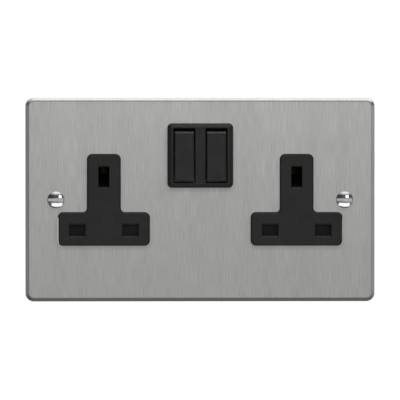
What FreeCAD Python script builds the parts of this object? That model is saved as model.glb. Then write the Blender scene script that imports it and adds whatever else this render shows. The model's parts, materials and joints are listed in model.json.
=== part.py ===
import FreeCAD, Part
import math
import os

# Twin switched socket outlet on a brushed steel plate, for a double wall box.
# Millimetres. X runs to the right, Z up, and Y into the wall: people stand on the -Y side.
# The origin is midway between the two fixing screws, in the plane of the wall.
# Switches are modelled off, with the top of each rocker pressed in. Shutters are closed.

V = FreeCAD.Vector

# How far a cut runs past the faces that it opens
overrun = 1.0

# Face plate, pressed from sheet
plate_width = 146.0
plate_height = 85.0
plate_depth = 4.5
plate_wall = 1.2
plate_corner = 3.5
plate_edge = 1.7
plate_gap = 0.15

# Fixing screws, M3.5 with raised countersunk slotted heads, set in from the plate's ends
fixing_inset = 12.7
fixing_spacing = plate_width - 2 * fixing_inset
fixing_thread_r = 1.75
fixing_shank_r = 1.5
fixing_length = 25.0
fixing_head_r = 3.5
fixing_head_rise = 0.9
fixing_slot_width = 1.0
fixing_slot_depth = 1.1
strap_hole_r = 2.0
fixing_crown_share = 0.5
countersink_gap = 0.05

# Socket outlets: how far each lies in from its fixing screw, and the pin layout of each
socket_inset = 20.05
socket_spacing = fixing_spacing - 2 * socket_inset
pin_spacing = 22.23
pin_line_z = -12.7
flat_pin_length = 17.7
earth_pin_length = 22.7
flat_slot_width = 6.8
flat_slot_height = 4.5
earth_slot_width = 4.5
earth_slot_height = 8.4
slot_lead_in = 0.7

# T-shaped pads that stand through the plate
pad_rise = 1.0
pad_bar_width = 38.1
pad_bar_height = 13.7
pad_stem_width = 13.8
pad_height = 38.0
pad_corner = 2.1
pad_inner_corner = 1.8
pad_edge = 0.4

# Black moulding behind the plate
flange_margin = 6.5
flange_height = plate_height - 2 * flange_margin
flange_rim = 1.5
flange_thickness = 2.0
ear_end = 4.0
ear_width = fixing_spacing + 2 * ear_end
ear_height = 15.0
ear_hole_r = 2.6
case_inset = 2.8
case_half_width = fixing_spacing / 2 - case_inset
flange_width = 2 * (case_half_width + flange_rim)
case_top_z = 33.0
case_bottom_z = -31.0
case_corner = 3.0
case_wall = 1.6
case_split_y = 6.0
lug_notch_depth = 2.3
lug_notch_half = 6.0

# Switch bezel and rockers
bezel_width = 27.1
bezel_height = 26.5
bezel_corner = 1.7
bezel_rise = 2.5
bezel_edge = 1.3
switch_z = 18.45
rocker_spacing = 13.4
rocker_width = 8.5
rocker_height = 21.8
rocker_rise = 0.6
rocker_bevel = 1.6
rocker_bevel_depth = 1.0
rocker_side_gap = 0.3
rocker_end_gap = 0.5
rocker_pivot_depth = 2.6
rocker_skirt = 4.0
rocker_draft = 0.6
rocker_wall = 1.3
rocker_edge = 0.35
rocker_tilt = 6.0
trunnion_r = 1.2
trunnion_length = 1.3
trunnion_hole_depth = 1.5
running_gap = 0.05

# Plunger and spring in the rocker's stem
stem_width = 4.8
stem_bore_r = 1.55
plunger_r = 1.48
plunger_length = 6.5
plunger_nose = 1.0
plunger_nose_half = 0.7
plunger_gap = 0.05
stem_grip = 3.0
plunger_spring_length = 5.0
plunger_spring_r = 1.1
plunger_wire_r = 0.15
coil_steps = 6
coil_turns = 3

# Rocking contact, its knife edge and the contact tips
rocking_swing = 9.0
rocking_thickness = 1.0
rocking_width = 4.6
rocking_lower = 6.0
rocking_upper = 9.2
knife_seat_depth = 0.35
knife_foot = 1.0
knife_gap = 0.05
tip_offset_z = 7.5
tip_half = 1.5
tip_height = 0.9
fixed_tip_height = 1.0
closed_contact_gap = 0.1

# Shutters
shutter_thickness = 1.6
shutter_gap = 0.2
shutter_cover = 0.5
shutter_stem_width = 8.0
shutter_wedge_width = 4.0
shutter_wedge_back = 5.6
shutter_wedge_heel = 1.5
shutter_rail_wall = 1.2
shutter_rail_lip = 0.9
shutter_cup_width = 5.2
shutter_cup_height = 2.6
shutter_spring_r = 1.7
shutter_wire_r = 0.25
spring_ledge_z = -26.0
spring_ledge_width = 6.0
spring_ledge_thickness = 1.4

# Sheet metal contacts and bars
strip_thickness = 0.8
strip_width = 5.0
neutral_width = 4.0
outlet_width = 4.0
strip_gap = 0.4
feed_above_knife = 2.0
feed_below_knife = 6.0
feed_margin = 1.0
strap_offset = 6.5
strap_end = 3.4
strap_seat_margin = 0.5
clip_thickness = 0.6
clip_half = 2.8
clip_pinch = 1.6
clip_mouth = 3.0
clip_mouth_share = 0.3
clip_shoulder_share = 0.35
flat_clip_width = 6.0
earth_clip_width = 7.0
pin_end_gap = 0.5
clip_front_gap = 1.2
earth_clip_front_gap = 4.0
layer_gap = 1.5

# Terminal blocks with a wire bore from below and a clamping screw from behind
terminal_spacing = 11.0
terminal_width = 9.0
terminal_height = 9.0
terminal_top_z = -18.0
terminal_front_y = 10.4
wire_bore_r = 2.3
wire_bore_depth = 6.5
wire_bore_wall = 1.3
terminal_rear_wall = 3.9
tail_depth = 1.5
tail_gap = 0.05
screw_r = 1.75
terminal_screw_length = 5.0
screw_slot_width = 0.8
screw_slot_depth = 1.0

# Rear cover, its terminal bay and its screws
bay_margin = 3.5
bay_half_width = terminal_spacing + terminal_width / 2 + bay_margin
bay_wall = 1.2
bay_floor = 1.5
cover_edge = 0.8
relief_depth = 0.5
relief_rim = 2.4
screw_seat_width = 7.2
hump_width = 13.0
raised_bevel = 1.8
pocket_gap = 0.1
cover_screw_r = 1.45
cover_screw_head_r = 2.6
cover_screw_head = 1.6
cover_screw_bite = 7.0
cover_screw_slot = 0.7
boss_width = 5.8
post_width = 3.0
post_margin = 3.0
cover_screw_inset = 11.5
cover_lower_screw_x = case_half_width - cover_screw_inset
cover_lower_screw_z = -24.0
cover_upper_screw_x = 20.0
cover_upper_screw_z = 17.0

# Levels worked out from the sizes above, along Y
plate_front = -plate_depth
plate_back = plate_front + plate_wall
pad_front = plate_front - pad_rise
bezel_front = plate_front - bezel_rise
flange_back = plate_back + flange_thickness
rocker_face = bezel_front - rocker_rise
rocker_pivot = rocker_face + rocker_pivot_depth
bus_front = pad_front + flat_pin_length + pin_end_gap + clip_thickness
bus_back = bus_front + strip_thickness
neutral_front = bus_back + layer_gap
neutral_back = neutral_front + strip_thickness
earth_front = pad_front + earth_pin_length + pin_end_gap + clip_thickness
earth_back = earth_front + strip_thickness
cover_back = earth_back + case_wall
wire_bore_y = terminal_front_y + wire_bore_wall + wire_bore_r
terminal_back_y = wire_bore_y + wire_bore_r + terminal_rear_wall
swing = math.radians(rocking_swing)
tip_end = tip_offset_z + tip_half
tip_reach = (knife_seat_depth + tip_height) * math.cos(swing) + tip_end * math.sin(swing)
knife_y = bus_front - fixed_tip_height - closed_contact_gap - tip_reach
contact_back = knife_y + knife_seat_depth
contact_front = contact_back - rocking_thickness
plunger_tip_y = contact_front - plunger_gap
stem_end = plunger_tip_y - plunger_length + stem_grip
stem_bore_end = plunger_tip_y - plunger_length - plunger_spring_length
shutter_front = flange_back + shutter_gap
shutter_back = shutter_front + shutter_thickness

# Places worked out from the sizes above, across and up
earth_pin_z = pin_line_z + pin_spacing
shutter_travel = flat_slot_height + 2 * shutter_cover
shutter_top = pin_line_z + flat_slot_height / 2 + shutter_cover
shutter_bottom = pin_line_z - flat_slot_height / 2 - shutter_cover
shutter_half_width = pin_spacing / 2 + flat_slot_width / 2 + shutter_cover
opening_height = rocker_height + 2 * rocker_end_gap
opening_width = rocker_width + 2 * rocker_side_gap
neutral_top_z = terminal_top_z + pocket_gap + bay_wall + strip_gap + neutral_width
outlet_z = switch_z + tip_offset_z


def outline(corners, place):
    """Closed wire through (a, b, radius) corners, each rounded by its radius."""
    points = [V(a, b, 0) for a, b, radius in corners]
    edges = []
    joints = []
    for i, (a, b, radius) in enumerate(corners):
        here = points[i]
        before = points[i - 1]
        after = points[(i + 1) % len(points)]
        back = (before - here).normalize()
        ahead = (after - here).normalize()
        if radius <= 0:
            joints.append((here, None, here))
            continue
        half = back.getAngle(ahead) / 2
        reach = radius / math.tan(half)
        middle = (back + ahead).normalize()
        bulge = here + middle * (radius / math.sin(half) - radius)
        joints.append((here + back * reach, bulge, here + ahead * reach))
    for i, (start, bulge, end) in enumerate(joints):
        if bulge is not None:
            arc = [place(p.x, p.y) for p in (start, bulge, end)]
            edges.append(Part.Arc(*arc).toShape())
        following = joints[(i + 1) % len(joints)][0]
        if (following - end).Length > 1e-7:
            edges.append(Part.makeLine(place(end.x, end.y), place(following.x, following.y)))
    return Part.Wire(edges)


def extrude_y(corners, start, end):
    """Solid with an outline in X and Z, running from start to end along Y."""
    wire = outline(corners, lambda a, b: V(a, start, b))
    return Part.Face(wire).extrude(V(0, end - start, 0))


def extrude_x(corners, start, end):
    """Solid with an outline in Y and Z, running from start to end along X."""
    wire = outline(corners, lambda a, b: V(start, a, b))
    return Part.Face(wire).extrude(V(end - start, 0, 0))


def extrude_z(corners, start, end):
    """Solid with an outline in X and Y, running from start to end along Z."""
    wire = outline(corners, lambda a, b: V(a, b, start))
    return Part.Face(wire).extrude(V(0, 0, end - start))


def rectangle(centre_a, centre_b, width, height, radius=0.0):
    """Corners of a rectangle with rounded corners."""
    a = width / 2
    b = height / 2
    return [
        (centre_a - a, centre_b - b, radius),
        (centre_a + a, centre_b - b, radius),
        (centre_a + a, centre_b + b, radius),
        (centre_a - a, centre_b + b, radius),
    ]


def bevelled_square(centre_a, centre_b, half, bevel):
    """Corners of a square whose own corners are cut off straight."""
    near = half - bevel
    around = [
        (near, -half), (half, -near), (half, near), (near, half),
        (-near, half), (-half, near), (-half, -near), (-near, -half),
    ]
    return [(centre_a + a, centre_b + b, 0) for a, b in around]


def block(x, y, z):
    """Box between the two values of each pair."""
    size = [abs(pair[1] - pair[0]) for pair in (x, y, z)]
    return Part.makeBox(*size, V(min(x), min(y), min(z)))


def rod_y(radius, x, z, start, end):
    """Round rod along Y."""
    return Part.makeCylinder(radius, end - start, V(x, start, z), V(0, 1, 0))


def rod_x(radius, y, z, start, end):
    """Round rod along X."""
    return Part.makeCylinder(radius, end - start, V(start, y, z), V(1, 0, 0))


def turned(profile, x, z):
    """Solid of revolution about a line along Y, from (radius, y) points."""
    points = [V(x + radius, y, z) for radius, y in profile]
    wire = Part.makePolygon(points + points[:1])
    return Part.Face(wire).revolve(V(x, 0, z), V(0, 1, 0), 360)


def edges_at(shape, y):
    """The edges of a shape that lie in one plane across Y."""
    found = []
    for edge in shape.Edges:
        bounds = edge.BoundBox
        if abs(bounds.YMin - y) < 1e-5 and abs(bounds.YMax - y) < 1e-5:
            found.append(edge)
    return found


def ribbon(points, thickness):
    """Closed outline of a folded sheet that follows a middle line."""
    line = [V(a, b, 0) for a, b in points]
    left = []
    right = []
    for i, here in enumerate(line):
        arriving = line[max(i, 1)] - line[max(i, 1) - 1]
        last = len(line) - 1
        leaving = line[min(i + 1, last)] - line[min(i + 1, last) - 1]
        across = V(-arriving.y, arriving.x, 0).normalize()
        beyond = V(-leaving.y, leaving.x, 0).normalize()
        normal = (across + beyond).normalize()
        reach = thickness / 2 / normal.dot(across)
        left.append((here.x + normal.x * reach, here.y + normal.y * reach, 0))
        right.append((here.x - normal.x * reach, here.y - normal.y * reach, 0))
    return left + right[::-1]


def coil(radius, wire, length, start, direction):
    """Compression spring of flat-sided wire, from a start point along a direction."""
    rise = length - 2 * wire
    steps = coil_steps * coil_turns
    sections = []
    for i in range(steps + 1):
        angle = math.radians(360 * i / coil_steps)
        outward = V(math.cos(angle), math.sin(angle), 0)
        middle = outward * radius + V(0, 0, rise * i / steps)
        corners = ((wire, wire), (-wire, wire), (-wire, -wire), (wire, -wire))
        sections.append([middle + outward * a + V(0, 0, b) for a, b in corners])
    faces = [Part.Face(Part.makePolygon(end + end[:1])) for end in (sections[0], sections[-1])]
    for here, ahead in zip(sections, sections[1:]):
        for i in range(len(here)):
            for third in (here[i], ahead[i - 1]):
                triangle = [here[i - 1], ahead[i], third]
                faces.append(Part.Face(Part.makePolygon(triangle + triangle[:1])))
    shell = Part.Shell(faces)
    shell.sewShape()
    spring = Part.Solid(shell)
    turn = FreeCAD.Rotation(V(0, 0, 1), direction)
    spring.Placement = FreeCAD.Placement(start + direction * wire, turn)
    return spring


def t_corners(centre_x, grow=0.0):
    """Outline of a socket pad: a wide bar below and a narrow stem above."""
    bar = pad_bar_width / 2 + grow
    stem = pad_stem_width / 2 + grow
    top = pad_height / 2 + grow
    bottom = -pad_height / 2 - grow
    shoulder = -pad_height / 2 + pad_bar_height + grow
    outer = pad_corner + grow
    inner = pad_inner_corner - grow
    right = [
        (bar, bottom, outer),
        (bar, shoulder, outer),
        (stem, shoulder, inner),
        (stem, top, outer),
    ]
    left = [(-x, z, radius) for x, z, radius in reversed(right)]
    return [(centre_x + x, z, radius) for x, z, radius in right + left]


def case_corners(inset):
    """Outline of the case: bevelled corners, and a notch at each side for the wall box's lug."""
    wide = case_half_width - inset
    narrow = wide - lug_notch_depth
    top = case_top_z - inset
    bottom = case_bottom_z + inset
    notch = lug_notch_half + inset
    bevel = case_corner - inset * (2 - math.sqrt(2))
    right = [
        (wide - bevel, bottom, 0),
        (wide, bottom + bevel, 0),
        (wide, -notch, 0),
        (narrow, -notch, 0),
        (narrow, notch, 0),
        (wide, notch, 0),
        (wide, top - bevel, 0),
        (wide - bevel, top, 0),
    ]
    left = [(-x, z, r) for x, z, r in reversed(right)]
    return right + left


def socket_centres():
    """X of the left and the right socket."""
    return {"left": -socket_spacing / 2, "right": socket_spacing / 2}


def switch_centres():
    """X of the left and the right rocker."""
    return {"left": -rocker_spacing / 2, "right": rocker_spacing / 2}


def terminal_centres():
    """X of each terminal, neutral to the left and live to the right."""
    return {"neutral": -terminal_spacing, "earth": 0.0, "live": terminal_spacing}


def cover_screw_places():
    """X and Z of the screws that hold the rear cover: two low at the sides, one high."""
    return [
        (-cover_lower_screw_x, cover_lower_screw_z),
        (cover_lower_screw_x, cover_lower_screw_z),
        (cover_upper_screw_x, cover_upper_screw_z),
    ]


def countersink(x):
    """Cone through the sheet of the plate, for the head of a fixing screw."""
    wide = fixing_head_r + countersink_gap
    return Part.makeCone(wide, wide - plate_wall, plate_wall, V(x, plate_front, 0), V(0, 1, 0))


def front_plate():
    """Pressed plate with a rounded rim, two T openings and a switch opening."""
    outer = extrude_y(rectangle(0, 0, plate_width, plate_height, plate_corner), plate_front, 0)
    outer = outer.makeFillet(plate_edge, edges_at(outer, plate_front))
    width = plate_width - 2 * plate_wall
    height = plate_height - 2 * plate_wall
    plate = outer.cut(extrude_y(rectangle(0, 0, width, height), plate_back, 0))
    for x in (-fixing_spacing / 2, fixing_spacing / 2):
        plate = plate.cut(countersink(x))
    for x in socket_centres().values():
        plate = plate.cut(extrude_y(t_corners(x, plate_gap), plate_front - overrun, 0))
    width = bezel_width + 2 * plate_gap
    height = bezel_height + 2 * plate_gap
    corner = bezel_corner + plate_gap
    opening = rectangle(0, switch_z, width, height, corner)
    plate = plate.cut(extrude_y(opening, plate_front - overrun, 0))
    return plate.removeSplitter()


def slot_cutter(x, z, width, height):
    """A pin slot through the pad and flange, bevelled above and below as a lead-in."""
    straight = block((x - width / 2, x + width / 2), (pad_front - overrun, flange_back + overrun),
                     (z - height / 2, z + height / 2))
    tall = height / 2 + slot_lead_in
    lead_in = [
        (pad_front, z - tall, 0),
        (pad_front + slot_lead_in, z - height / 2, 0),
        (pad_front + slot_lead_in, z + height / 2, 0),
        (pad_front, z + tall, 0),
    ]
    return straight.fuse(extrude_x(lead_in, x - width / 2, x + width / 2))


def shutter_rails(centre_x):
    """Two hooked rails that guide and hold a shutter's stem."""
    rails = []
    inner = shutter_stem_width / 2 + shutter_gap
    outer = inner + shutter_rail_wall
    lip = shutter_stem_width / 2 - shutter_rail_lip
    lip_front = shutter_back + shutter_gap
    lip_back = lip_front + shutter_rail_wall
    bottom = shutter_top + shutter_travel / 2
    top = earth_pin_z - earth_slot_height / 2 - shutter_cover
    for side in (-1, 1):
        profile = [
            (centre_x + side * inner, flange_back, 0),
            (centre_x + side * outer, flange_back, 0),
            (centre_x + side * outer, lip_back, 0),
            (centre_x + side * lip, lip_back, 0),
            (centre_x + side * lip, lip_front, 0),
            (centre_x + side * inner, lip_front, 0),
        ]
        rails.append(extrude_z(profile, bottom, top))
    return rails


def front_moulding():
    """One black moulding: pads, bezel, flange, ears, side walls and bosses."""
    flange = extrude_y(rectangle(0, 0, flange_width, flange_height), plate_back, flange_back)
    ears = extrude_y(rectangle(0, 0, ear_width, ear_height), plate_back, flange_back)
    body = flange.fuse(ears)
    shell = extrude_y(case_corners(0), flange_back, case_split_y)
    shell = shell.cut(extrude_y(case_corners(case_wall), flange_back, case_split_y))
    body = body.fuse(shell)
    for x in socket_centres().values():
        pad = extrude_y(t_corners(x), pad_front, plate_back)
        body = body.fuse(pad.makeChamfer(pad_edge, edges_at(pad, pad_front)))
        body = body.fuse(shutter_rails(x))
        ledge_back = shutter_front + 2 * (shutter_spring_r + shutter_wire_r)
        body = body.fuse(block((x - spring_ledge_width / 2, x + spring_ledge_width / 2),
                               (flange_back, ledge_back),
                               (spring_ledge_z - spring_ledge_thickness, spring_ledge_z)))
    bezel = extrude_y(rectangle(0, switch_z, bezel_width, bezel_height, bezel_corner),
                      bezel_front, plate_back)
    body = body.fuse(bezel.makeChamfer(bezel_edge, edges_at(bezel, bezel_front)))
    for x, z in cover_screw_places():
        body = body.fuse(extrude_y(rectangle(x, z, boss_width, boss_width),
                                   flange_back, case_split_y))
        body = body.cut(rod_y(cover_screw_r, x, z, case_split_y - cover_screw_bite, case_split_y))
    for x in switch_centres().values():
        body = body.cut(block((x - opening_width / 2, x + opening_width / 2),
                              (bezel_front - overrun, flange_back + overrun),
                              (switch_z - opening_height / 2, switch_z + opening_height / 2)))
        body = body.cut(trunnion_seat(x))
    for x in socket_centres().values():
        for side in (-1, 1):
            body = body.cut(slot_cutter(x + side * pin_spacing / 2, pin_line_z,
                                        flat_slot_width, flat_slot_height))
        body = body.cut(slot_cutter(x, earth_pin_z, earth_slot_width, earth_slot_height))
    for x in (-fixing_spacing / 2, fixing_spacing / 2):
        body = body.cut(rod_y(ear_hole_r, x, 0, plate_back, flange_back))
    for side in (-1, 1):
        wall = case_half_width - lug_notch_depth
        gap = strip_width / 2 + plate_gap
        body = body.cut(block((side * (wall - case_wall - overrun), side * (wall + overrun)),
                              (flange_back, flange_back + clip_thickness + plate_gap),
                              (-gap, gap)))
    return body.removeSplitter()


def trunnion_seat(centre_x):
    """Cut for a rocker's trunnions: round at the front, and open to the rear to let them in."""
    reach = opening_width / 2 + trunnion_hole_depth
    radius = trunnion_r + running_gap
    seat = rod_x(radius, rocker_pivot, switch_z, centre_x - reach, centre_x + reach)
    way_in = block((centre_x - reach, centre_x + reach), (rocker_pivot, flange_back + overrun),
                   (switch_z - radius, switch_z + radius))
    return seat.fuse(way_in)


def rocker(centre_x):
    """Hollow rocker with trunnions and a bored stem, tilted to its off position."""
    half = rocker_height / 2
    flat = half - rocker_bevel
    skirt = rocker_pivot + rocker_skirt
    shoulder = rocker_face + rocker_bevel_depth
    upper = [
        (skirt, switch_z + half - rocker_draft, 0),
        (shoulder, switch_z + half, 0),
        (rocker_face, switch_z + flat, 0),
    ]
    lower = [(y, 2 * switch_z - z, radius) for y, z, radius in reversed(upper)]
    body = extrude_x(upper + lower, centre_x - rocker_width / 2, centre_x + rocker_width / 2)
    rim = [e for e in body.Edges if e.BoundBox.YMax < rocker_face + 1e-5]
    rim = [e for e in rim if e.BoundBox.XLength < 1e-5]
    body = body.makeChamfer(rocker_edge, rim)
    inner = half - rocker_draft - rocker_wall
    width = rocker_width - 2 * rocker_wall
    body = body.cut(block((centre_x - width / 2, centre_x + width / 2),
                          (rocker_face + rocker_wall, skirt + overrun),
                          (switch_z - inner, switch_z + inner)))
    stem = extrude_y(rectangle(centre_x, switch_z, stem_width, stem_width),
                     rocker_face + rocker_wall, stem_end)
    body = body.fuse(stem)
    reach = rocker_width / 2 + rocker_side_gap + trunnion_length
    for side in (-1, 1):
        pin = rod_x(trunnion_r, rocker_pivot, switch_z, 0, reach - rocker_width / 2 + rocker_wall)
        if side < 0:
            pin.translate(V(centre_x - reach, 0, 0))
        else:
            pin.translate(V(centre_x + rocker_width / 2 - rocker_wall, 0, 0))
        body = body.fuse(pin)
    body = body.cut(rod_y(stem_bore_r, centre_x, switch_z, stem_bore_end, stem_end + overrun))
    return switched_off(body.removeSplitter())


def switched_off(shape):
    """A piece of the rocker, turned from its middle position to off."""
    shape.rotate(V(0, rocker_pivot, switch_z), V(1, 0, 0), -rocker_tilt)
    return shape


def plunger(centre_x):
    """Round plunger with a roof-shaped nose, sliding in the rocker's stem."""
    tail = plunger_tip_y - plunger_length
    shoulder = plunger_tip_y - plunger_nose
    upper = [
        (tail, switch_z + plunger_r, 0),
        (shoulder, switch_z + plunger_r, 0),
        (plunger_tip_y, switch_z + plunger_nose_half, 0),
    ]
    lower = [(y, 2 * switch_z - z, 0) for y, z, radius in reversed(upper)]
    roof = extrude_x(upper + lower, centre_x - plunger_r, centre_x + plunger_r)
    return switched_off(rod_y(plunger_r, centre_x, switch_z, tail, plunger_tip_y).common(roof))


def plunger_spring(centre_x):
    """Spring between the plunger and the bottom of the stem's bore."""
    start = V(centre_x, stem_bore_end, switch_z)
    spring = coil(plunger_spring_r, plunger_wire_r, plunger_spring_length, start, V(0, 1, 0))
    return switched_off(spring)


def contact_tip(x, z, base_y, height):
    """Square silver pad on a contact, standing out by a height along Y."""
    return block((x - tip_half, x + tip_half), (base_y, base_y + height),
                 (z - tip_half, z + tip_half))


def contact_open(shape):
    """A piece of the rocking contact, turned from its middle position to open."""
    shape.rotate(V(0, knife_y, switch_z), V(1, 0, 0), rocking_swing)
    return shape


def rocking_contact(centre_x):
    """Copper rocking strip with a V across its back that sits on the knife edge."""
    half = rocking_width / 2
    seat = knife_seat_depth + knife_gap
    profile = [
        (contact_front, switch_z - rocking_lower, 0),
        (contact_back, switch_z - rocking_lower, 0),
        (contact_back, switch_z - seat, 0),
        (contact_back - seat, switch_z, 0),
        (contact_back, switch_z + seat, 0),
        (contact_back, switch_z + rocking_upper, 0),
        (contact_front, switch_z + rocking_upper, 0),
    ]
    return contact_open(extrude_x(profile, centre_x - half, centre_x + half))


def moving_tip(centre_x):
    """Silver tip at the upper end of the rocking contact."""
    return contact_open(contact_tip(centre_x, outlet_z, contact_back, tip_height))


def shutter(centre_x):
    """Sliding shutter: a bar over the flat-pin slots, and a stem with the earth pin's wedge."""
    bar = block((centre_x - shutter_half_width, centre_x + shutter_half_width),
                (shutter_front, shutter_back), (shutter_bottom, shutter_top))
    half = shutter_stem_width / 2
    wedge_z = earth_pin_z - earth_slot_height / 2
    stem = block((centre_x - half, centre_x + half), (shutter_front, shutter_back),
                 (shutter_bottom, wedge_z))
    wedge_back = shutter_front + shutter_wedge_back
    profile = [
        (shutter_front, wedge_z - shutter_wedge_heel, 0),
        (wedge_back, wedge_z - shutter_wedge_heel, 0),
        (wedge_back, wedge_z + shutter_travel, 0),
        (shutter_front, wedge_z, 0),
    ]
    wedge = extrude_x(profile, centre_x - shutter_wedge_width / 2,
                      centre_x + shutter_wedge_width / 2)
    cup_back = shutter_front + 2 * (shutter_spring_r + shutter_wire_r)
    cup = block((centre_x - shutter_cup_width / 2, centre_x + shutter_cup_width / 2),
                (shutter_front, cup_back),
                (shutter_bottom, shutter_bottom + shutter_cup_height))
    return bar.fuse([stem, wedge, cup]).removeSplitter()


def shutter_spring(centre_x):
    """Spring that pushes the shutter up to its closed position."""
    middle = shutter_front + shutter_spring_r + shutter_wire_r
    length = shutter_bottom - spring_ledge_z
    return coil(shutter_spring_r, shutter_wire_r, length,
                V(centre_x, middle, spring_ledge_z), V(0, 0, 1))


def clip_corners(across, mouth, base):
    """Section of a contact clip: two arms that pinch a pin, joined by a base."""
    length = base - mouth
    shoulder = base - length * clip_shoulder_share
    pinch = mouth + length * clip_mouth_share
    arm = [(mouth, clip_mouth), (pinch, clip_pinch), (shoulder, clip_half), (base, clip_half)]
    other = [(y, -s) for y, s in reversed(arm)]
    line = [(y, across + s) for y, s in arm + other]
    return ribbon(line, clip_thickness)


def flat_pin_clip(x, strip_front):
    """Clip for a flat pin, with one arm above it and one below, on the front of its strip."""
    base = strip_front - clip_thickness / 2
    mouth = shutter_back + shutter_spring_r + clip_front_gap
    return extrude_x(clip_corners(pin_line_z, mouth, base),
                     x - flat_clip_width / 2, x + flat_clip_width / 2)


def earth_pin_clip(x):
    """Clip for the earth pin, with one arm on each side of it."""
    base = earth_front - clip_thickness / 2
    mouth = shutter_front + shutter_wedge_back + earth_clip_front_gap
    corners = [(s, y, radius) for y, s, radius in clip_corners(x, mouth, base)]
    return extrude_z(corners, earth_pin_z - earth_clip_width / 2,
                     earth_pin_z + earth_clip_width / 2)


def neutral_bar():
    """Flat strip from the neutral terminal to both neutral clips, behind the live strips."""
    half = strip_width / 2
    left = -socket_spacing / 2 - pin_spacing / 2
    right = socket_spacing / 2 - pin_spacing / 2
    tail = terminal_centres()["neutral"]
    clip_top = pin_line_z + clip_half + clip_thickness / 2
    bar_bottom = neutral_top_z - neutral_width
    corners = [
        (left - half, bar_bottom, 0),
        (tail - half, bar_bottom, 0),
        (tail - half, terminal_top_z - tail_depth, 0),
        (tail + half, terminal_top_z - tail_depth, 0),
        (tail + half, bar_bottom, 0),
        (right + half, bar_bottom, 0),
        (right + half, clip_top, 0),
        (right - half, clip_top, 0),
        (right - half, neutral_top_z, 0),
        (left + half, neutral_top_z, 0),
        (left + half, clip_top, 0),
        (left - half, clip_top, 0),
    ]
    return extrude_y(corners, neutral_front, neutral_back)


def live_outlet(name):
    """Flat strip from a switch's fixed contact, over and down to its live clip."""
    side = -1 if name == "left" else 1
    half = strip_width / 2
    drop = outlet_width / 2
    start = switch_centres()[name] - side * (tip_half + feed_margin)
    end = socket_centres()[name] + pin_spacing / 2
    clip_bottom = pin_line_z - clip_half - clip_thickness / 2
    corners = [
        (start, outlet_z - half, 0),
        (start, outlet_z + half, 0),
        (end + side * drop, outlet_z + half, 0),
        (end + side * drop, clip_bottom, 0),
        (end - side * drop, clip_bottom, 0),
        (end - side * drop, outlet_z - half, 0),
    ]
    return extrude_y(corners, bus_front, bus_back)


def live_feed():
    """Flat strip from the live terminal to the two knife edges."""
    half = strip_width / 2
    tail = terminal_centres()["live"]
    top = switch_z + feed_above_knife
    bottom = switch_z - feed_below_knife
    reach = rocker_spacing / 2 + rocking_width / 2 + feed_margin
    corners = [
        (-reach, bottom, 0),
        (tail - half, bottom, 0),
        (tail - half, terminal_top_z - tail_depth, 0),
        (tail + half, terminal_top_z - tail_depth, 0),
        (tail + half, top, 0),
        (-reach, top, 0),
    ]
    body = extrude_y(corners, bus_front, bus_back)
    for x in switch_centres().values():
        knife = [
            (bus_front, switch_z - knife_foot / 2, 0),
            (bus_front, switch_z + knife_foot / 2, 0),
            (knife_y, switch_z, 0),
        ]
        body = body.fuse(extrude_x(knife, x - rocking_width / 2, x + rocking_width / 2))
    return body.removeSplitter()


def earth_bar():
    """Flat strip behind everything, from the earth terminal to both earth clips."""
    half = strip_width / 2
    reach = socket_spacing / 2 + strap_inset()
    strap = strip_width / 2 + strap_seat_margin
    top = earth_pin_z + half
    bottom = earth_pin_z - half
    inner = socket_spacing / 2 - half
    right = [
        (half, terminal_top_z - tail_depth, 0),
        (half, bottom, 0),
        (inner, bottom, 0),
        (inner, -strap, 0),
        (reach, -strap, 0),
        (reach, top, 0),
    ]
    left = [(-x, z, radius) for x, z, radius in reversed(right)]
    return extrude_y(right + left, earth_front, earth_back)


def strap_inset():
    """How far past a socket's centre the plate's earthing strap comes down."""
    return strap_offset + clip_thickness


def earth_strap(side):
    """Strap from a fixing screw, round the socket, to the earth bar."""
    drop = socket_spacing / 2 + strap_inset() - clip_thickness / 2
    front = flange_back + clip_thickness / 2
    end = fixing_spacing / 2 + strap_end
    line = [(side * end, front), (side * drop, front), (side * drop, earth_front)]
    half = strip_width / 2
    body = extrude_z(ribbon(line, clip_thickness), -half, half)
    return body.cut(rod_y(strap_hole_r, side * fixing_spacing / 2, 0, front - overrun,
                          front + overrun))


def strip_level(name):
    """Front of the strip that enters a terminal."""
    return {"neutral": neutral_front, "live": bus_front, "earth": earth_front}[name]


def terminal_block(name):
    """Brass block with a blind wire bore from below and a tapped hole from behind."""
    x = terminal_centres()[name]
    bottom = terminal_top_z - terminal_height
    body = block((x - terminal_width / 2, x + terminal_width / 2),
                 (terminal_front_y, terminal_back_y), (bottom, terminal_top_z))
    bore = Part.makeCylinder(wire_bore_r, wire_bore_depth, V(x, wire_bore_y, bottom), V(0, 0, 1))
    body = body.cut(bore)
    body = body.cut(rod_y(screw_r + running_gap, x, terminal_screw_z(), wire_bore_y,
                          terminal_back_y))
    front = strip_level(name)
    half = strip_width / 2 + tail_gap
    return body.cut(block((x - half, x + half),
                          (front - tail_gap, front + strip_thickness + tail_gap),
                          (terminal_top_z - tail_depth, terminal_top_z)))


def terminal_screw_z():
    """Height of the clamping screws, midway along the wire bore."""
    return terminal_top_z - terminal_height + wire_bore_depth / 2


def terminal_screw(name):
    """Slotted clamping screw, backed out clear of the wire bore."""
    x = terminal_centres()[name]
    z = terminal_screw_z()
    start = wire_bore_y + wire_bore_r
    end = start + terminal_screw_length
    body = rod_y(screw_r, x, z, start, end)
    return body.cut(block((x - screw_slot_width / 2, x + screw_slot_width / 2),
                          (end - screw_slot_depth, end + overrun),
                          (z - screw_r - overrun, z + screw_r + overrun)))


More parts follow.
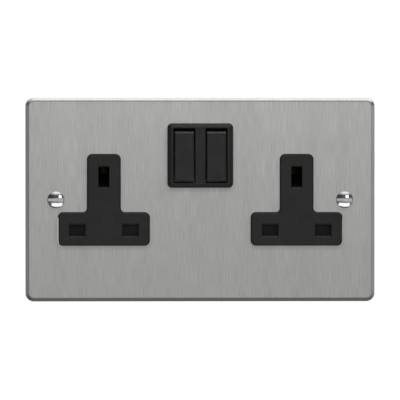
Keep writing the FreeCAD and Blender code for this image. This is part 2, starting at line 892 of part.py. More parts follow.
def rear_cover():
    """Rear shell with pillars, supports and a bay for the three terminals."""
    outer = extrude_y(case_corners(0), case_split_y, cover_back)
    outer = outer.makeChamfer(cover_edge, edges_at(outer, cover_back))
    bay_top = terminal_top_z + pocket_gap + bay_wall
    bay_front = terminal_front_y - bay_floor
    bay = block((-bay_half_width, bay_half_width), (bay_front, cover_back),
                (case_bottom_z, bay_top))
    hollow = extrude_y(case_corners(case_wall), case_split_y, earth_back).cut(bay)
    pillars = []
    for x, z in cover_screw_places():
        pillars.append(extrude_y(rectangle(x, z, boss_width, boss_width),
                                 case_split_y, earth_back))
    for x, z, top in support_places():
        pillars.append(extrude_y(rectangle(x, z, post_width, post_width), top, earth_back))
    body = outer.cut(hollow.cut(pillars))
    pocket = terminal_width / 2 + pocket_gap
    for name, x in terminal_centres().items():
        body = body.cut(block((x - pocket, x + pocket),
                              (terminal_front_y, cover_back + overrun),
                              (case_bottom_z - overrun, terminal_top_z + pocket_gap)))
        front = strip_level(name)
        half = strip_width / 2 + plate_gap
        back = front + strip_thickness + (0 if name == "earth" else plate_gap)
        body = body.cut(block((x - half, x + half), (front - plate_gap, back),
                              (terminal_top_z, bay_top + overrun)))
    for x, z in cover_screw_places():
        body = body.cut(rod_y(cover_screw_r + plate_gap, x, z, case_split_y, cover_back))
    return body.cut(back_relief(bay_top)).removeSplitter()


def back_relief(bay_top):
    """Shallow relief that leaves the back's rim, earth humps, screw seats and terminal bay."""
    floor = cover_back - relief_depth
    end = cover_back + overrun
    panel = extrude_y(case_corners(relief_rim), floor, end)
    standing = [block((-bay_half_width, bay_half_width), (floor, end),
                      (case_bottom_z, bay_top))]
    raised = [(x, earth_pin_z, hump_width / 2) for x in socket_centres().values()]
    raised += [(x, z, screw_seat_width / 2) for x, z in cover_screw_places()]
    for x, z, half in raised:
        standing.append(extrude_y(bevelled_square(x, z, half, raised_bevel), floor, end))
    return panel.cut(standing)


def support_places():
    """Posts on the cover's floor that hold the strips: X, Z and the level of each top."""
    left = socket_centres()["left"]
    right = socket_centres()["right"]
    half_pins = pin_spacing / 2
    below = pin_line_z + clip_half + post_margin
    knife_post = switch_z + (feed_above_knife - feed_below_knife) / 2
    return [
        (left + half_pins, outlet_z, bus_back),
        (left + half_pins, below, bus_back),
        (right + half_pins, outlet_z, bus_back),
        (right + half_pins, below, bus_back),
        (left - half_pins, neutral_top_z - neutral_width / 2, neutral_back),
        (right - half_pins, neutral_top_z - neutral_width / 2, neutral_back),
        (-rocker_spacing / 2, outlet_z, bus_back),
        (rocker_spacing / 2, outlet_z, bus_back),
        (-rocker_spacing / 2, knife_post, bus_back),
        (rocker_spacing / 2, knife_post, bus_back),
    ]


def cover_screw(x, z):
    """Pan-headed screw from the rear cover into a boss of the front moulding."""
    tip = case_split_y - cover_screw_bite + pin_end_gap
    head_end = cover_back + cover_screw_head
    body = rod_y(cover_screw_r, x, z, tip, cover_back)
    body = body.fuse(rod_y(cover_screw_head_r, x, z, cover_back, head_end))
    slot = cover_screw_slot / 2
    return body.cut(block((x - slot, x + slot),
                          (head_end - cover_screw_head / 2, head_end + overrun),
                          (z - cover_screw_head_r - overrun, z + cover_screw_head_r + overrun)))


def fixing_screw(side):
    """M3.5 screw with a raised slotted head that sits in the plate's countersink."""
    x = side * fixing_spacing / 2
    top = plate_front - fixing_head_rise
    neck = plate_front + fixing_head_r - fixing_shank_r
    end = plate_front + fixing_length
    crown = fixing_head_r * fixing_crown_share
    profile = [
        (0, top),
        (crown, top),
        (fixing_head_r, plate_front),
        (fixing_shank_r, neck),
        (fixing_shank_r, 0),
        (fixing_thread_r, 0),
        (fixing_thread_r, end),
        (0, end),
    ]
    body = turned(profile, x, 0)
    return body.cut(block((x - fixing_head_r - overrun, x + fixing_head_r + overrun),
                          (top - overrun, top + fixing_slot_depth),
                          (-fixing_slot_width / 2, fixing_slot_width / 2)))


def build():
    """Every piece by its node name."""
    nodes = {
        "front_plate": front_plate(),
        "front_moulding": front_moulding(),
        "rear_cover": rear_cover(),
        "neutral_bar": neutral_bar(),
        "live_feed": live_feed(),
        "earth_bar": earth_bar(),
        "cover_screws": Part.makeCompound([cover_screw(x, z) for x, z in cover_screw_places()]),
        "fixing_screws": Part.makeCompound([fixing_screw(side) for side in (-1, 1)]),
    }
    for name, x in socket_centres().items():
        side = -1 if name == "left" else 1
        nodes["shutter_" + name] = shutter(x)
        nodes["shutter_spring_" + name] = shutter_spring(x)
        nodes["neutral_clip_" + name] = flat_pin_clip(x - pin_spacing / 2, neutral_front)
        nodes["live_clip_" + name] = flat_pin_clip(x + pin_spacing / 2, bus_front)
        nodes["earth_clip_" + name] = earth_pin_clip(x)
        nodes["live_outlet_" + name] = live_outlet(name)
        nodes["earth_strap_" + name] = earth_strap(side)
    for name, x in switch_centres().items():
        nodes["rocker_" + name] = rocker(x)
        nodes["plunger_" + name] = plunger(x)
        nodes["plunger_spring_" + name] = plunger_spring(x)
        nodes["rocking_contact_" + name] = rocking_contact(x)
        nodes["moving_tip_" + name] = moving_tip(x)
        nodes["fixed_tip_" + name] = contact_tip(x, outlet_z, bus_front, -fixed_tip_height)
    for name in terminal_centres():
        nodes["terminal_" + name] = terminal_block(name)
        nodes["terminal_screw_" + name] = terminal_screw(name)
    return nodes


os.makedirs("parts", exist_ok=True)
for node, shape in build().items():
    shape.exportStep("parts/" + node + ".step")
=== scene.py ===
import json
import logging
import math
from dataclasses import dataclass
from enum import Enum

import bmesh
import bpy
from mathutils import Matrix, Vector


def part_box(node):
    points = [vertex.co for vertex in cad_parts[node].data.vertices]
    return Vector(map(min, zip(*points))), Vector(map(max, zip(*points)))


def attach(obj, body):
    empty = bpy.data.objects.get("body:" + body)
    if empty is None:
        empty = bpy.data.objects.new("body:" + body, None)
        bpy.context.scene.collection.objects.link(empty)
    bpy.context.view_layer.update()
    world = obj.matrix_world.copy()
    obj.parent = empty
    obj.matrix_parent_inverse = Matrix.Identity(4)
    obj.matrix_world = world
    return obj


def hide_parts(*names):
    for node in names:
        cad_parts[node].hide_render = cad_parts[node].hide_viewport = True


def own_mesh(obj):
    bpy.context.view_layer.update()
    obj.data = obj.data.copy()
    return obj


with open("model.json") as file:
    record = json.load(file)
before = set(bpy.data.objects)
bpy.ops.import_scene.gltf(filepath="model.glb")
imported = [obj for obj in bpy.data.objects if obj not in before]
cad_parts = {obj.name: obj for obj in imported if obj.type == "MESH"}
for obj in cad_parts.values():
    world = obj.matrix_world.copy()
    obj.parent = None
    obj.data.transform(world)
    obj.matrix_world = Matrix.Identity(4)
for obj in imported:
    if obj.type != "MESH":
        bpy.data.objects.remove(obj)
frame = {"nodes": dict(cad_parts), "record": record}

LOG = logging.getLogger("twin_socket")
MM = 0.001

# Turns a screw that stands along Z so that it points along Y, into the wall.
INTO_WALL = Matrix.Rotation(-math.pi / 2, 4, "X")

# Noise seldom leaves this span, so it is spread from here over the whole of 0 to 1.
NOISE_SPAN = (0.3, 0.7)
NOISE_ROUGHNESS = 0.55

# Samples that the renderer takes for a broken edge and for the painted shade under a step.
EDGE_SAMPLES = 4
SHADE_SAMPLES = 8

# How finely round things are drawn.
HEAD_SEGMENTS = 72
DOME_STEPS = 14
CORE_SIDES = 40
THREAD_STEPS = 24
RIDGE_SIDES = 4
COIL_STEPS = 28
WIRE_SIDES = 10
SHARP_DEGREES = 28

# Proportions that all screws share.
RIDGE_SHARE = 0.3
PAN_CORNER_SHARE = 0.7
NECK_MM = 0.4
POINT_BEVEL_MM = 0.25

# Pieces that some lamps single out.
FACE_SCREWS = "fixing_screws_turned"
ROCKERS = ("rocker_left", "rocker_right")


def linear(hex_colour: str) -> tuple[float, float, float, float]:
    """Turns an sRGB hex colour into the linear values that a shader takes.

    The numbers in it are those of the sRGB curve.

    Args:
        hex_colour: Six hex digits, such as "8c8d8c".

    Returns:
        Red, green, blue and an alpha of one.
    """
    channels = [int(hex_colour[i:i + 2], 16) / 255 for i in (0, 2, 4)]
    lit = [c / 12.92 if c <= 0.04045 else ((c + 0.055) / 1.055) ** 2.4 for c in channels]
    return (lit[0], lit[1], lit[2], 1.0)


def add_node(tree: bpy.types.NodeTree, kind: str, settings: dict | None = None,
             values: dict | None = None, links: dict | None = None) -> bpy.types.Node:
    """Adds one node to a tree, with its settings, socket values and incoming links.

    Args:
        tree: The shader or geometry tree that gets the node.
        kind: The node's type name.
        settings: Properties of the node itself.
        values: Values for its input sockets, by name or number.
        links: Output sockets that feed its input sockets, by name or number.

    Returns:
        The new node.
    """
    node = tree.nodes.new(kind)
    for key, value in (settings or {}).items():
        setattr(node, key, value)
    for key, value in (values or {}).items():
        node.inputs[key].default_value = value
    for key, source in (links or {}).items():
        tree.links.new(source, node.inputs[key])
    return node


def pattern(tree: bpy.types.NodeTree, size_mm: tuple[float, float, float],
            detail: float) -> bpy.types.NodeSocket:
    """Adds noise on Object coordinates whose spots have a real size along each axis.

    Args:
        tree: The shader tree.
        size_mm: Length of one spot along X, Y and Z, in millimetres.
        detail: Finer octaves of the noise.

    Returns:
        The socket that carries the pattern's value, from 0 to 1.
    """
    where = add_node(tree, "ShaderNodeTexCoord")
    scale = tuple(1 / (length * MM) for length in size_mm)
    sized = add_node(tree, "ShaderNodeMapping", values={"Scale": scale},
                     links={"Vector": where.outputs["Object"]})
    noise = add_node(tree, "ShaderNodeTexNoise",
                     values={"Scale": 1.0, "Detail": detail, "Roughness": NOISE_ROUGHNESS},
                     links={"Vector": sized.outputs["Vector"]})
    spread = add_node(tree, "ShaderNodeMapRange",
                      values={"From Min": NOISE_SPAN[0], "From Max": NOISE_SPAN[1]},
                      links={"Value": noise.outputs["Fac"]})
    return spread.outputs["Result"]


def ramp(tree: bpy.types.NodeTree, source: bpy.types.NodeSocket,
         stops: tuple[tuple[float, float], ...]) -> bpy.types.NodeSocket:
    """Turns a value into a grey level by stops.

    Args:
        tree: The tree that gets the ramp.
        source: The socket that carries the place along the ramp.
        stops: Place and level of each stop.

    Returns:
        The socket that carries the level.
    """
    node = add_node(tree, "ShaderNodeValToRGB", links={"Fac": source})
    elements = node.color_ramp.elements
    while len(elements) < len(stops):
        elements.new(0.5)
    for element, (place, level) in zip(elements, stops):
        element.position = place
        element.color = (level, level, level, 1.0)
    return node.outputs["Color"]


@dataclass(frozen=True)
class Finish:
    """What every finish has: the slot it is for, its two colours and how its edges are broken."""

    name: str
    slot: str
    base: str
    shade: str
    roughness: float
    edge_mm: float

    def begin(self) -> tuple[bpy.types.Material, bpy.types.NodeTree, bpy.types.Node]:
        """Starts a material with one Principled shader.

        Returns:
            The material, its node tree and the shader.
        """
        material = bpy.data.materials.new(self.name)
        material.use_nodes = True
        tree = material.node_tree
        tree.nodes.clear()
        shader = add_node(tree, "ShaderNodeBsdfPrincipled",
                          values={"Base Color": linear(self.base), "Roughness": self.roughness})
        add_node(tree, "ShaderNodeOutputMaterial", links={"Surface": shader.outputs["BSDF"]})
        return material, tree, shader

    def colour_by(self, tree: bpy.types.NodeTree, shader: bpy.types.Node,
                  amount: bpy.types.NodeSocket) -> None:
        """Varies the colour between its base and its shade.

        Args:
            tree: The shader tree.
            shader: The Principled shader.
            amount: The socket that carries how much shade there is.
        """
        mix = add_node(tree, "ShaderNodeMix", settings={"data_type": "RGBA"},
                       links={"Factor": amount})
        mix.inputs["A"].default_value = linear(self.base)
        mix.inputs["B"].default_value = linear(self.shade)
        tree.links.new(mix.outputs["Result"], shader.inputs["Base Color"])

    def relief(self, tree: bpy.types.NodeTree, shader: bpy.types.Node,
               height: bpy.types.NodeSocket, depth_mm: float) -> None:
        """Adds bump over softly broken edges.

        Args:
            tree: The shader tree.
            shader: The Principled shader.
            height: The socket that carries the height, from 0 to 1.
            depth_mm: Real depth of the relief in millimetres.
        """
        edges = add_node(tree, "ShaderNodeBevel", settings={"samples": EDGE_SAMPLES},
                         values={"Radius": self.edge_mm * MM})
        bump = add_node(tree, "ShaderNodeBump", values={"Distance": depth_mm * MM},
                        links={"Height": height, "Normal": edges.outputs["Normal"]})
        tree.links.new(bump.outputs["Normal"], shader.inputs["Normal"])


@dataclass(frozen=True)
class BrushedSheet(Finish):
    """Stainless sheet brushed along Z: long fine streaks, and a rim that is nearly polished.

    The spans ending in _turn are read against how squarely the surface faces the front, from 0
    for a side face to 1 for the flat of the plate. Two marks in the colour are painted shade: a
    dark line where the face turns into the rim, and a soft shade below whatever stands out of it.
    """

    grain_mm: float
    stroke_mm: float
    relief_mm: float
    band_mm: tuple[float, float, float]
    band_share: float
    anisotropy: float
    gloss_spread: float
    rim_roughness: float
    rim_turn: tuple[float, float]
    # The next two fields set a painted dark line in the colour where the face turns into the rim.
    painted_rim_line_depth: float
    painted_rim_line_turn: tuple[float, float, float, float]
    # The next three fields set painted shade in the colour below raised parts.
    shade_mm: float
    shade_depth: float
    shade_lift: float
    haze: float
    haze_roughness: float

    def material(self) -> bpy.types.Material:
        """Builds the material.

        Returns:
            Brushed steel with streaks in colour, gloss and height.
        """
        material, tree, shader = self.begin()
        shader.inputs["Metallic"].default_value = 1.0
        shader.inputs["Anisotropic"].default_value = self.anisotropy
        streaks = pattern(tree, (self.grain_mm, self.grain_mm, self.stroke_mm), detail=3.0)
        bands = pattern(tree, self.band_mm, detail=1.0)
        both = add_node(tree, "ShaderNodeMath", settings={"operation": "MULTIPLY_ADD"},
                        values={1: self.band_share}, links={0: bands, 2: streaks})
        face = add_node(tree, "ShaderNodeNewGeometry")
        split = add_node(tree, "ShaderNodeSeparateXYZ", links={"Vector": face.outputs["Normal"]})
        flat = add_node(tree, "ShaderNodeMath", settings={"operation": "ABSOLUTE"},
                        links={0: split.outputs["Y"]})
        self.colour_by(tree, shader, both.outputs[0])
        # Painted shade: the colour is darkened in a thin line where the flat face turns into the
        # rim, standing in for the dark room that the rim mirrors there.
        levels = (1.0, self.painted_rim_line_depth, self.painted_rim_line_depth, 1.0)
        painted_rim_line = ramp(tree, flat.outputs[0], tuple(zip(self.painted_rim_line_turn, levels)))
        # Both levels scale the colour down as painted shade: the rim line and the shade below
        # raised parts.
        for level in (painted_rim_line, self.shade_under(tree, face.outputs["Normal"])):
            plain = shader.inputs["Base Color"].links[0].from_socket
            dimmed = add_node(tree, "ShaderNodeVectorMath", settings={"operation": "SCALE"},
                              links={0: plain, "Scale": level})
            tree.links.new(dimmed.outputs[0], shader.inputs["Base Color"])
        rim = add_node(tree, "ShaderNodeMapRange",
                       values={"From Min": self.rim_turn[0], "From Max": self.rim_turn[1],
                               "To Min": self.rim_roughness, "To Max": self.roughness},
                       links={"Value": flat.outputs[0]})
        spread = add_node(tree, "ShaderNodeMath", settings={"operation": "MULTIPLY_ADD"},
                          values={1: self.gloss_spread},
                          links={0: streaks, 2: rim.outputs["Result"]})
        tree.links.new(spread.outputs[0], shader.inputs["Roughness"])
        self.relief(tree, shader, streaks, self.relief_mm)
        haze = add_node(tree, "ShaderNodeBsdfPrincipled",
                        values={"Base Color": linear(self.shade), "Metallic": 1.0,
                                "Roughness": self.haze_roughness})
        mixed = add_node(tree, "ShaderNodeMixShader", values={0: self.haze},
                         links={1: shader.outputs["BSDF"], 2: haze.outputs["BSDF"]})
        output = next(n for n in tree.nodes if n.type == "OUTPUT_MATERIAL")
        tree.links.new(mixed.outputs["Shader"], output.inputs["Surface"])
        return material

    def shade_under(self, tree: bpy.types.NodeTree,
                    normal: bpy.types.NodeSocket) -> bpy.types.NodeSocket:
        """Paints into the colour a soft shade below whatever stands out of the sheet, standing in
        for the shadow that it casts.

        Args:
            tree: The shader tree.
            normal: The socket that carries the surface's own normal.

        Returns:
            The socket that carries the level, 1 where the sheet lies open.
        """
        # Painted shadow: occlusion from above, turned into a level that darkens the colour below
        # raised parts.
        upward = add_node(tree, "ShaderNodeVectorMath", links={0: normal},
                          values={1: (0.0, 0.0, self.shade_lift)})
        open_sky = add_node(tree, "ShaderNodeAmbientOcclusion", settings={"samples": SHADE_SAMPLES},
                            values={"Distance": self.shade_mm * MM},
                            links={"Normal": upward.outputs[0]})
        level = add_node(tree, "ShaderNodeMapRange", values={"To Min": self.shade_depth},
                         links={"Value": open_sky.outputs["AO"]})
        return level.outputs["Result"]


@dataclass(frozen=True)
class MouldedPlastic(Finish):
    """Injection-moulded plastic with the fine sparked texture of its tool."""

    spark_mm: float
    depth_mm: float
    gloss: float = 0.36
    ior: float = 1.45
    cloud_mm: float = 9.0
    gloss_spread: float = 0.1

    def material(self) -> bpy.types.Material:
        """Builds the material.

        Returns:
            Satin plastic with a fine even grain.
        """
        material, tree, shader = self.begin()
        shader.inputs["IOR"].default_value = self.ior
        shader.inputs["Specular IOR Level"].default_value = self.gloss
        grain = pattern(tree, (self.spark_mm,) * 3, detail=2.0)
        cloud = pattern(tree, (self.cloud_mm,) * 3, detail=2.0)
        self.colour_by(tree, shader, cloud)
        smoothest = self.roughness - self.gloss_spread / 2
        gloss = add_node(tree, "ShaderNodeMath", settings={"operation": "MULTIPLY_ADD"},
                         values={1: self.gloss_spread, 2: smoothest}, links={0: cloud})
        tree.links.new(gloss.outputs[0], shader.inputs["Roughness"])
        self.relief(tree, shader, grain, self.depth_mm)
        return material


@dataclass(frozen=True)
class WorkedMetal(Finish):
    """Metal that was stamped, turned, plated or drawn, with the marks that this leaves."""

    mark_mm: tuple[float, float, float]
    depth_mm: float
    bloom_mm: float = 2.5
    gloss_floor: float = 0.8
    gloss_spread: float = 0.4

    def material(self) -> bpy.types.Material:
        """Builds the material.

        Returns:
            Metal with working marks and a cloudy bloom.
        """
        material, tree, shader = self.begin()
        shader.inputs["Metallic"].default_value = 1.0
        marks = pattern(tree, self.mark_mm, detail=2.0)
        bloom = pattern(tree, (self.bloom_mm,) * 3, detail=3.0)
        self.colour_by(tree, shader, bloom)
        gloss = add_node(tree, "ShaderNodeMath", settings={"operation": "MULTIPLY_ADD"},
                         values={1: self.gloss_spread * self.roughness,
                                 2: self.gloss_floor * self.roughness},
                         links={0: marks})
        tree.links.new(gloss.outputs[0], shader.inputs["Roughness"])
        self.relief(tree, shader, marks, self.depth_mm)
        return material


FINISHES = (
    # Sheet brushed upright: fine streaks that break up the light, a soft sheen along them, and
    # a rim that mirrors the room. A real stroke is some 0.05 mm wide, too fine to show here, so
    # it is drawn at 0.3 mm.
    BrushedSheet("brushed_stainless_sheet", "brushed_plate", "eeeeec", "d5d5d3", 0.36, 0.1,
                 grain_mm=0.3, stroke_mm=9.0, relief_mm=0.006, band_mm=(7.0, 7.0, 90.0),
                 band_share=0.3, anisotropy=0.55, gloss_spread=0.07, rim_roughness=0.15,
                 # The rim line and shade values below set painted shade in the sheet's colour.
                 rim_turn=(0.94, 0.995), painted_rim_line_depth=0.45,
                 painted_rim_line_turn=(0.9, 0.955, 0.985, 1.0), shade_mm=2.2, shade_depth=0.62,
                 shade_lift=1.2, haze=0.3, haze_roughness=0.8),
    # Hard black moulding: an even satin near-black whose broken edges catch thin grey lines. The
    # sparked texture of its tool is too fine to show, so it is drawn at about 0.3 mm, as on all
    # the plastics below.
    MouldedPlastic("satin_black_urea", "black_moulding", "242424", "202020", 0.42, 0.6,
                   spark_mm=0.3, depth_mm=0.012, gloss=0.2),
    # Rockers: the same black plastic as the moulding, in a darker copy of its colour that is
    # painted shade, and glossier, so that their tops read as bevels.
    MouldedPlastic("satin_black_rocker", "black_rocker", "070707", "050505", 0.38, 0.8,
                   spark_mm=0.25, depth_mm=0.008, gloss=0.37),
    # Rear cover: pale dull nylon with the grain of its tool, plainly another plastic.
    MouldedPlastic("light_grey_nylon", "grey_cover", "8d8f8f", "868888", 0.5, 0.3,
                   spark_mm=0.35, depth_mm=0.02),
    # Shutters: dark and smooth, their colour darkened further as painted shade, so that the closed
    # slots look deep and not empty.
    MouldedPlastic("dark_shutter_and_slot_shade", "grey_shutter", "0d0d0e", "0b0b0c", 0.42, 0.2,
                   spark_mm=0.25, depth_mm=0.008, gloss=0.3),
    # Plungers: milky slippery nylon, a small pale point inside the switch.
    MouldedPlastic("white_nylon_plunger", "white_plunger", "d9d7cf", "cfccc2", 0.35, 0.15,
                   spark_mm=0.25, depth_mm=0.006),
    # Fixing screws: bright plating that mirrors the room in hard patches of light and dark. The
    # marks of work on this and every metal below are a few hundredths of a millimetre wide, too
    # fine to show, so they are drawn at 0.12 to 0.4 mm.
    WorkedMetal("bright_chrome_plate", "chrome_screw", "d6d7d8", "c8c9ca", 0.09, 0.12,
                mark_mm=(0.15, 0.15, 2.0), depth_mm=0.002),
    # Cover screws: zinc with a dull bluish bloom, greyer than the chrome.
    WorkedMetal("zinc_plated_steel", "zinc_screw", "b9bcbd", "9ea3a3", 0.3, 0.12,
                mark_mm=(0.4, 0.4, 0.4), depth_mm=0.006),
    # Terminal screws: yellow brass with the rings of the lathe.
    WorkedMetal("turned_brass", "brass_screw", "d2b36b", "b6924a", 0.24, 0.1,
                mark_mm=(1.5, 0.12, 1.5), depth_mm=0.004),
    # Terminal blocks: duller brass with the straight marks of the saw.
    WorkedMetal("sawn_brass", "brass_block", "cfae66", "b18d47", 0.32, 0.2,
                mark_mm=(3.0, 3.0, 0.18), depth_mm=0.008),
    # Strips: browner brass with long rolling lines.
    WorkedMetal("stamped_brass_strip", "brass_strip", "b8995a", "9c7c42", 0.42, 0.1,
                mark_mm=(6.0, 0.2, 0.2), depth_mm=0.004),
    # Clips: matt spring brass whose darker colour is partly its own duller tone and partly painted
    # shade, so that it stays dim deep in the slots.
    WorkedMetal("folded_spring_brass", "brass_clip", "957a45", "7d6233", 0.6, 0.1,
                mark_mm=(0.2, 5.0, 0.2), depth_mm=0.004),
    # Earth straps: tinned strip, silvery with soft lines along it.
    WorkedMetal("tinned_strip", "tinned_strap", "c3c5c4", "a9acab", 0.34, 0.1,
                mark_mm=(6.0, 0.25, 0.25), depth_mm=0.005),
    # Rocking contacts: clean copper, the only reddish metal here.
    WorkedMetal("bright_copper_strip", "copper_contact", "d08a63", "b56f4b", 0.26, 0.1,
                mark_mm=(0.2, 0.2, 5.0), depth_mm=0.004),
    # Contact tips: whitish silver with a finely pitted, almost mirror face.
    WorkedMetal("silver_pad", "silver_tip", "dcdcd8", "c6c5be", 0.2, 0.1,
                mark_mm=(0.3, 0.3, 0.3), depth_mm=0.004),
    # Springs: drawn steel wire, a bright line of light along each turn.
    WorkedMetal("drawn_spring_wire", "spring_steel", "a9abad", "8f9194", 0.25, 0.0,
                mark_mm=(0.3, 0.3, 0.3), depth_mm=0.002),
)


class Palette:
    """Every finish of the outlet, made once and handed out by slot."""

    def __init__(self, finishes: tuple[Finish, ...]) -> None:
        """Builds the materials.

        Args:
            finishes: One finish for each material slot.
        """
        self.by_slot = {finish.slot: finish.material() for finish in finishes}

    def dress_nodes(self) -> None:
        """Gives each node of the frame the finish of its slot."""
        for part in frame["record"]["subparts"]:
            node = frame["nodes"][part["node"]]
            for slot in node.material_slots:
                slot.material = self.by_slot[part["material_slot"]]
            LOG.info("dressed %s as %s", part["node"], part["material_slot"])


def set_inputs(modifier: bpy.types.NodesModifier, values: dict) -> None:
    """Sets the inputs of a geometry tree's modifier by the names of its sockets.

    Args:
        modifier: The modifier that holds the tree.
        values: A value for each named input.
    """
    for item in modifier.node_group.interface.items_tree:
        if item.item_type == "SOCKET" and item.in_out == "INPUT" and item.name in values:
            modifier[item.identifier] = values[item.name]


def grow(name: str, tree: bpy.types.NodeTree, seeds: list[Vector], values: dict,
         place: Matrix) -> bpy.types.Object:
    """Runs a geometry tree over seed points and keeps the result as a plain mesh.

    Args:
        name: The new piece's name.
        tree: The geometry tree.
        seeds: Points that the tree starts from, in its own coordinates.
        values: The tree's inputs by name.
        place: Where the result goes in the frame.

    Returns:
        The finished piece, at the origin, with its place in its mesh.
    """
    points = bpy.data.meshes.new(name + "_seeds")
    points.from_pydata([tuple(p) for p in seeds], [], [])
    seed = bpy.data.objects.new(name + "_seeds", points)
    bpy.context.scene.collection.objects.link(seed)
    modifier = seed.modifiers.new("grow", "NODES")
    modifier.node_group = tree
    set_inputs(modifier, values)
    evaluated = seed.evaluated_get(bpy.context.evaluated_depsgraph_get())
    mesh = bpy.data.meshes.new_from_object(evaluated)
    mesh.name = name
    mesh.transform(place)
    bpy.data.objects.remove(seed)
    piece = bpy.data.objects.new(name, mesh)
    bpy.context.scene.collection.objects.link(piece)
    return piece


def new_tree(name: str, sockets: dict) -> tuple[bpy.types.NodeTree, bpy.types.Node]:
    """Starts a geometry tree with named inputs.

    Args:
        name: The tree's name.
        sockets: Socket type for each named input after the geometry.

    Returns:
        The tree and its input node.
    """
    tree = bpy.data.node_groups.new(name, "GeometryNodeTree")
    tree.interface.new_socket(name="Seeds", in_out="INPUT", socket_type="NodeSocketGeometry")
    for label, kind in sockets.items():
        tree.interface.new_socket(name=label, in_out="INPUT", socket_type=kind)
    tree.interface.new_socket(name="Result", in_out="OUTPUT", socket_type="NodeSocketGeometry")
    return tree, tree.nodes.new("NodeGroupInput")


def close_tree(tree: bpy.types.NodeTree, given: bpy.types.Node,
               shape: bpy.types.NodeSocket) -> None:
    """Copies a shape to every seed point, makes it real, dresses it and ends the tree.

    Args:
        tree: The geometry tree.
        given: Its input node.
        shape: The socket that carries one copy of the shape.
    """
    copies = add_node(tree, "GeometryNodeInstanceOnPoints",
                      links={"Points": given.outputs["Seeds"], "Instance": shape})
    real = add_node(tree, "GeometryNodeRealizeInstances",
                    links={"Geometry": copies.outputs["Instances"]})
    dressed = add_node(tree, "GeometryNodeSetMaterial",
                       links={"Geometry": real.outputs["Geometry"],
                              "Material": given.outputs["Finish"]})
    add_node(tree, "NodeGroupOutput", links={0: dressed.outputs["Geometry"]})


def coil_tree() -> bpy.types.NodeTree:
    """Builds the tree for round-wire coils: springs stand on their seed points along Z.

    Returns:
        The tree.
    """
    tree, given = new_tree("wire_coil", {
        "Coil Radius": "NodeSocketFloat", "Wire Radius": "NodeSocketFloat",
        "Height": "NodeSocketFloat", "Turns": "NodeSocketFloat", "Finish": "NodeSocketMaterial"})
    helix = add_node(tree, "GeometryNodeCurveSpiral", values={"Resolution": COIL_STEPS},
                     links={"Rotations": given.outputs["Turns"],
                            "Start Radius": given.outputs["Coil Radius"],
                            "End Radius": given.outputs["Coil Radius"],
                            "Height": given.outputs["Height"]})
    section = add_node(tree, "GeometryNodeCurvePrimitiveCircle", values={"Resolution": WIRE_SIDES},
                       links={"Radius": given.outputs["Wire Radius"]})
    wire = add_node(tree, "GeometryNodeCurveToMesh", values={"Fill Caps": True},
                    links={"Curve": helix.outputs["Curve"],
                           "Profile Curve": section.outputs["Curve"]})
    smooth = add_node(tree, "GeometryNodeSetShadeSmooth",
                      links={"Geometry": wire.outputs["Mesh"]})
    close_tree(tree, given, smooth.outputs["Geometry"])
    return tree


def screw_tree() -> bpy.types.NodeTree:
    """Builds the tree for screws: a head, a core and a helical ridge on each seed point.

    Returns:
        The tree.
    """
    tree, given = new_tree("threaded_screw", {
        "Head": "NodeSocketObject", "Core Radius": "NodeSocketFloat",
        "Ridge Radius": "NodeSocketFloat", "Ridge Size": "NodeSocketFloat",
        "Start": "NodeSocketFloat", "Length": "NodeSocketFloat",
        "Threads": "NodeSocketFloat", "Finish": "NodeSocketMaterial"})
    head = add_node(tree, "GeometryNodeObjectInfo", links={"Object": given.outputs["Head"]})
    core = add_node(tree, "GeometryNodeMeshCylinder", values={"Vertices": CORE_SIDES},
                    links={"Radius": given.outputs["Core Radius"],
                           "Depth": given.outputs["Length"]})
    middle = add_node(tree, "ShaderNodeMath", settings={"operation": "MULTIPLY_ADD"},
                      values={1: 0.5},
                      links={0: given.outputs["Length"], 2: given.outputs["Start"]})
    up = add_node(tree, "ShaderNodeCombineXYZ", links={"Z": middle.outputs[0]})
    placed = add_node(tree, "GeometryNodeTransform",
                      links={"Geometry": core.outputs["Mesh"], "Translation": up.outputs[0]})
    helix = add_node(tree, "GeometryNodeCurveSpiral", values={"Resolution": THREAD_STEPS},
                     links={"Rotations": given.outputs["Threads"],
                            "Start Radius": given.outputs["Ridge Radius"],
                            "End Radius": given.outputs["Ridge Radius"],
                            "Height": given.outputs["Length"]})
    upright = add_node(tree, "GeometryNodeSetCurveNormal", settings={"mode": "Z_UP"},
                       links={"Curve": helix.outputs["Curve"]})
    section = add_node(tree, "GeometryNodeCurvePrimitiveCircle", values={"Resolution": RIDGE_SIDES},
                       links={"Radius": given.outputs["Ridge Size"]})
    ridge = add_node(tree, "GeometryNodeCurveToMesh", values={"Fill Caps": True},
                     links={"Curve": upright.outputs["Curve"],
                            "Profile Curve": section.outputs["Curve"]})
    lift = add_node(tree, "ShaderNodeCombineXYZ", links={"Z": given.outputs["Start"]})
    raised = add_node(tree, "GeometryNodeTransform",
                      links={"Geometry": ridge.outputs["Mesh"], "Translation": lift.outputs[0]})
    joined = add_node(tree, "GeometryNodeJoinGeometry")
    for part in (raised.outputs["Geometry"], placed.outputs["Geometry"], head.outputs["Geometry"]):
        tree.links.new(part, joined.inputs["Geometry"])
    close_tree(tree, given, joined.outputs["Geometry"])
    return tree


class HeadStyle(Enum):
    """Shapes of screw head on this outlet."""

    RAISED_COUNTERSUNK = "raised countersunk"
    PAN = "pan"
    HEADLESS = "headless"


